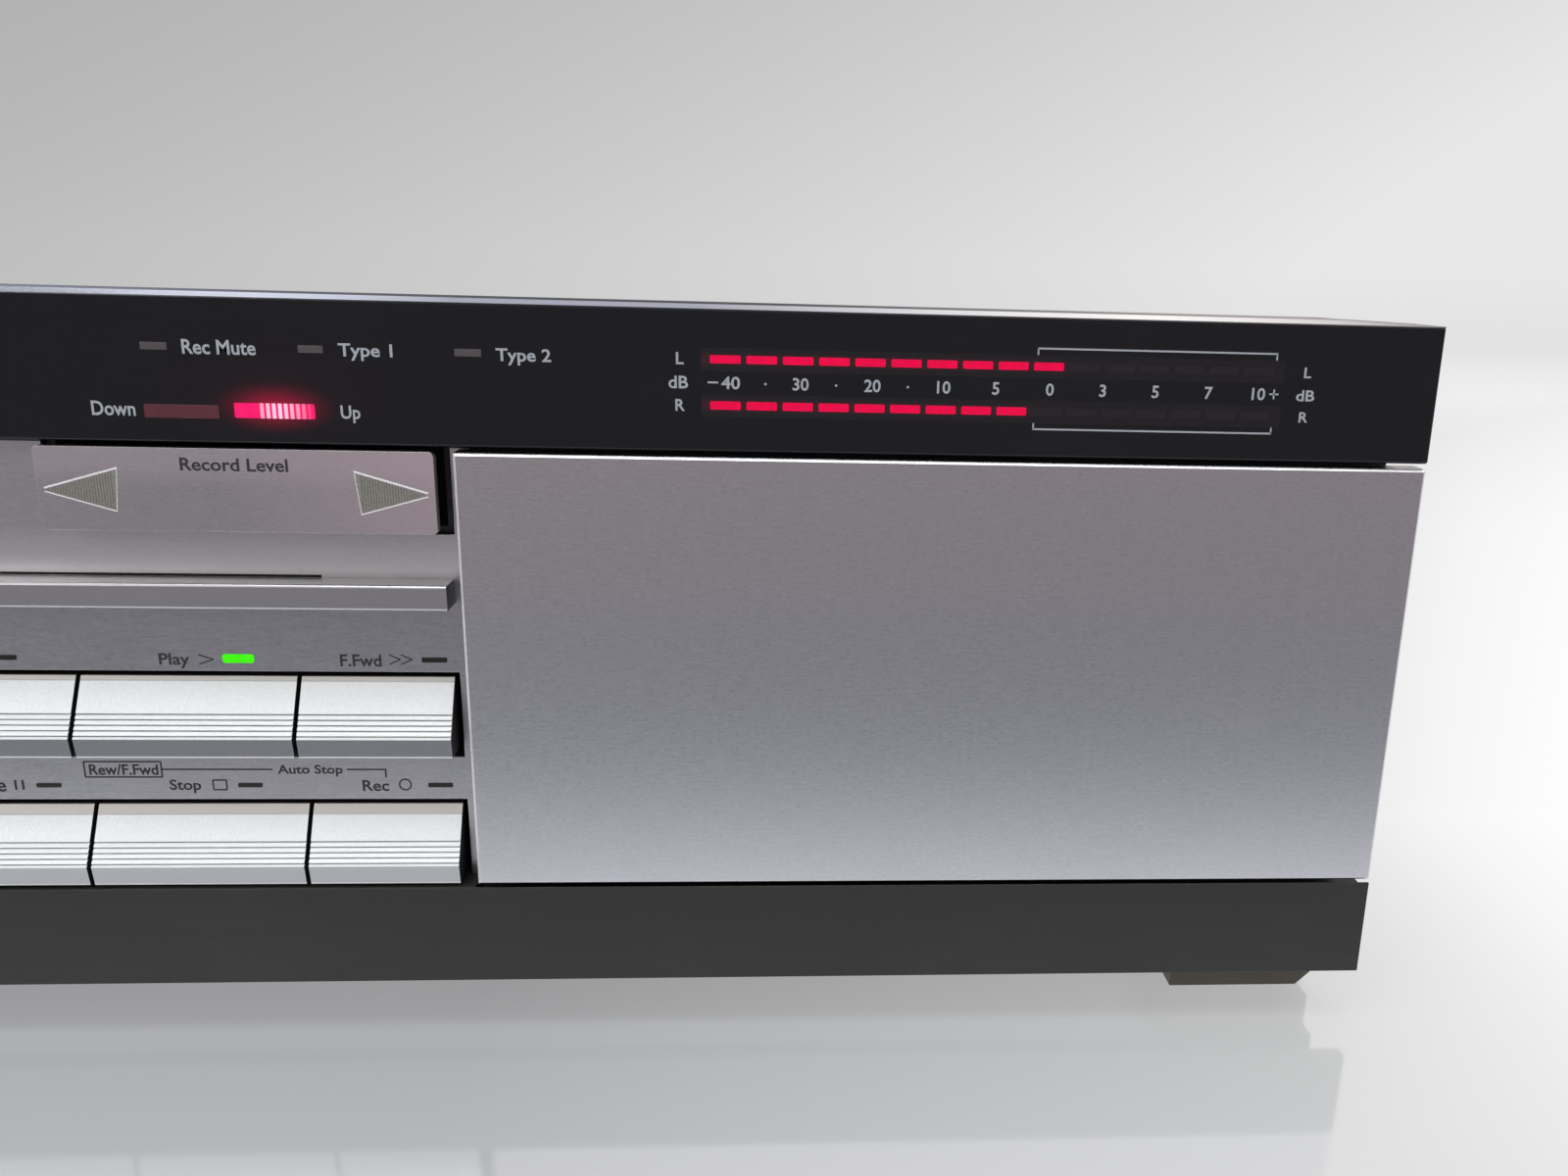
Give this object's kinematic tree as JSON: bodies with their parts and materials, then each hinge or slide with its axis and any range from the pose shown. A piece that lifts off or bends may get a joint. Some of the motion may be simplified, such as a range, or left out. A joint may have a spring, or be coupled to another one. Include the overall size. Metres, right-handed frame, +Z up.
{
  "type": "cassette deck",
  "caption": "Free-standing cassette deck with a drop-down control door, a tilting cassette door, transport keys, a fader rocker and a level meter window.",
  "frame": {"origin": "centre of the overall box, on the plane that the feet stand on", "axes": "+X to the right seen from the front, +Y to the back, +Z up"},
  "size_m": [0.45, 0.3, 0.136],
  "materials": {
    "satin_metal": "satin, fine horizontal grain",
    "trim_metal": "brushed",
    "key_metal": "pearl silver",
    "window_black": "dark acrylic",
    "pane_smoke": "clear smoked",
    "plinth_plastic": "fine matte",
    "dark_plastic": "moulded",
    "black_steel": "fine texture paint",
    "zinc_steel": "plated",
    "board": "circuit board",
    "rubber": "matte",
    "core_steel": "varnished laminations",
    "brass": "plated"
  },
  "bodies": {
    "chassis": {"front_frame": "dark_plastic", "fascia": "satin_metal", "display_window": "window_black", "top_trim": "trim_metal", "plinth": "plinth_plastic", "ledge_bar": "satin_metal", "control_panel": "dark_plastic", "headphone_jack": "dark_plastic", "control_board": "board", "key_bracket": "dark_plastic", "key_board": "board", "display_board": "board", "mechanism_plate": "zinc_steel", "thrust_plate": "zinc_steel", "capstan_motor": "zinc_steel", "reel_motor": "zinc_steel", "capstan_belt": "rubber", "base_pan": "zinc_steel", "rear_panel": "black_steel", "top_cover": "black_steel", "main_board": "board", "transformer": "core_steel", "phono_jacks": "brass", "mains_inlet": "dark_plastic", "foot_front_left": "rubber", "foot_front_right": "rubber", "foot_rear_left": "rubber", "foot_rear_right": "rubber"},
    "control_door": {"control_door": "satin_metal"},
    "cassette_door": {"cassette_door": "satin_metal", "cassette_window": "pane_smoke", "cassette_holder": "dark_plastic"},
    "fader_rocker": {"fader_rocker": "satin_metal"},
    "rewind_key": {"rewind_key": "key_metal"},
    "play_key": {"play_key": "key_metal"},
    "forward_key": {"forward_key": "key_metal"},
    "pause_key": {"pause_key": "key_metal"},
    "stop_key": {"stop_key": "key_metal"},
    "record_key": {"record_key": "key_metal"},
    "power_button": {"power_button": "key_metal"},
    "eject_button": {"eject_button": "key_metal"},
    "reset_button": {"reset_button": "key_metal"},
    "level_knob_left": {"level_knob_left": "key_metal"},
    "level_knob_right": {"level_knob_right": "key_metal"},
    "level_knob_output": {"level_knob_output": "key_metal"},
    "monitor_lever": {"monitor_lever": "key_metal"},
    "timer_lever": {"timer_lever": "key_metal"},
    "tape_lever": {"tape_lever": "key_metal"},
    "hub_left": {"hub_left": "dark_plastic"},
    "hub_right": {"hub_right": "dark_plastic"},
    "capstan_left": {"capstan_left": "zinc_steel"},
    "capstan_right": {"capstan_right": "zinc_steel"},
    "motor_pulley": {"motor_pulley": "brass"},
    "head_base": {"head_base": "zinc_steel"},
    "pinch_arm_left": {"pinch_arm_left": "zinc_steel"},
    "pinch_roller_left": {"pinch_roller_left": "rubber"},
    "pinch_arm_right": {"pinch_arm_right": "zinc_steel"},
    "pinch_roller_right": {"pinch_roller_right": "rubber"}
  },
  "joints": [
    {"name": "control_door_hinge", "type": "hinge", "parent": "chassis", "child": "control_door", "pos_m": [0.1392, -0.146, 0.0339], "axis": [1, 0, 0], "range_deg": [0, 90]},
    {"name": "cassette_door_hinge", "type": "hinge", "parent": "chassis", "child": "cassette_door", "pos_m": [-0.118, -0.146, 0.0349], "axis": [1, 0, 0], "range_deg": [0, 25]},
    {"name": "fader_rocker_pivot", "type": "hinge", "parent": "chassis", "child": "fader_rocker", "pos_m": [0.0174, -0.1335, 0.1033], "axis": [0, 0, 1], "range_deg": [-2.5, 2.5], "stiffness_Nm_per_rad": 0.5},
    {"name": "rewind_key_travel", "type": "slide", "parent": "chassis", "child": "rewind_key", "axis": [0, 1, 0], "range_m": [0, 0.0015], "stiffness_N_per_m": 300},
    {"name": "play_key_travel", "type": "slide", "parent": "chassis", "child": "play_key", "axis": [0, 1, 0], "range_m": [0, 0.0015], "stiffness_N_per_m": 300},
    {"name": "forward_key_travel", "type": "slide", "parent": "chassis", "child": "forward_key", "axis": [0, 1, 0], "range_m": [0, 0.0015], "stiffness_N_per_m": 300},
    {"name": "pause_key_travel", "type": "slide", "parent": "chassis", "child": "pause_key", "axis": [0, 1, 0], "range_m": [0, 0.0015], "stiffness_N_per_m": 300},
    {"name": "stop_key_travel", "type": "slide", "parent": "chassis", "child": "stop_key", "axis": [0, 1, 0], "range_m": [0, 0.0015], "stiffness_N_per_m": 300},
    {"name": "record_key_travel", "type": "slide", "parent": "chassis", "child": "record_key", "axis": [0, 1, 0], "range_m": [0, 0.0015], "stiffness_N_per_m": 300},
    {"name": "power_button_travel", "type": "slide", "parent": "chassis", "child": "power_button", "axis": [0, 1, 0], "range_m": [0, 0.003], "stiffness_N_per_m": 300},
    {"name": "eject_button_travel", "type": "slide", "parent": "chassis", "child": "eject_button", "axis": [0, 1, 0], "range_m": [0, 0.003], "stiffness_N_per_m": 300},
    {"name": "reset_button_travel", "type": "slide", "parent": "chassis", "child": "reset_button", "axis": [0, 1, 0], "range_m": [0, 0.0015], "stiffness_N_per_m": 300},
    {"name": "level_knob_left_turn", "type": "hinge", "parent": "chassis", "child": "level_knob_left", "pos_m": [0.0842, -0.13, 0.07811], "axis": [0, 1, 0], "range_deg": [-150, 150]},
    {"name": "level_knob_right_turn", "type": "hinge", "parent": "chassis", "child": "level_knob_right", "pos_m": [0.1224, -0.13, 0.07811], "axis": [0, 1, 0], "range_deg": [-150, 150]},
    {"name": "level_knob_output_turn", "type": "hinge", "parent": "chassis", "child": "level_knob_output", "pos_m": [0.1606, -0.13, 0.07811], "axis": [0, 1, 0], "range_deg": [-150, 150]},
    {"name": "monitor_lever_travel", "type": "slide", "parent": "chassis", "child": "monitor_lever", "axis": [1, 0, 0], "range_m": [-0.003, 0.003]},
    {"name": "timer_lever_travel", "type": "slide", "parent": "chassis", "child": "timer_lever", "axis": [1, 0, 0], "range_m": [-0.003, 0.003]},
    {"name": "tape_lever_travel", "type": "slide", "parent": "chassis", "child": "tape_lever", "axis": [1, 0, 0], "range_m": [-0.003, 0.003]},
    {"name": "hub_left_spin", "type": "hinge", "parent": "chassis", "child": "hub_left", "pos_m": [-0.13925, -0.13, 0.0734], "axis": [0, 1, 0], "continuous": true},
    {"name": "hub_right_spin", "type": "hinge", "parent": "chassis", "child": "hub_right", "pos_m": [-0.09675, -0.13, 0.0734], "axis": [0, 1, 0], "continuous": true},
    {"name": "capstan_left_spin", "type": "hinge", "parent": "chassis", "child": "capstan_left", "pos_m": [-0.15, -0.12, 0.0479], "axis": [0, 1, 0], "continuous": true},
    {"name": "capstan_right_spin", "type": "hinge", "parent": "chassis", "child": "capstan_right", "pos_m": [-0.086, -0.12, 0.0479], "axis": [0, 1, 0], "continuous": true},
    {"name": "motor_pulley_spin", "type": "hinge", "parent": "chassis", "child": "motor_pulley", "pos_m": [-0.118, -0.115, 0.0899], "axis": [0, 1, 0], "continuous": true},
    {"name": "head_base_lift", "type": "slide", "parent": "chassis", "child": "head_base", "axis": [0, 0, 1], "range_m": [0, 0.005]},
    {"name": "pinch_arm_left_swing", "type": "hinge", "parent": "chassis", "child": "pinch_arm_left", "pos_m": [-0.162, -0.125, 0.0369], "axis": [0, -1, 0], "range_deg": [0, 5]},
    {"name": "pinch_roller_left_spin", "type": "hinge", "parent": "pinch_arm_left", "child": "pinch_roller_left", "pos_m": [-0.15, -0.13, 0.0394], "axis": [0, 1, 0], "continuous": true},
    {"name": "pinch_arm_right_swing", "type": "hinge", "parent": "chassis", "child": "pinch_arm_right", "pos_m": [-0.074, -0.125, 0.0369], "axis": [0, 1, 0], "range_deg": [0, 5]},
    {"name": "pinch_roller_right_spin", "type": "hinge", "parent": "pinch_arm_right", "child": "pinch_roller_right", "pos_m": [-0.086, -0.13, 0.0394], "axis": [0, 1, 0], "continuous": true}
  ],
  "couplings": [
    {"joint": "capstan_right_spin", "follows": "capstan_left_spin", "ratio": 1},
    {"joint": "motor_pulley_spin", "follows": "capstan_left_spin", "ratio": 5.6}
  ]
}
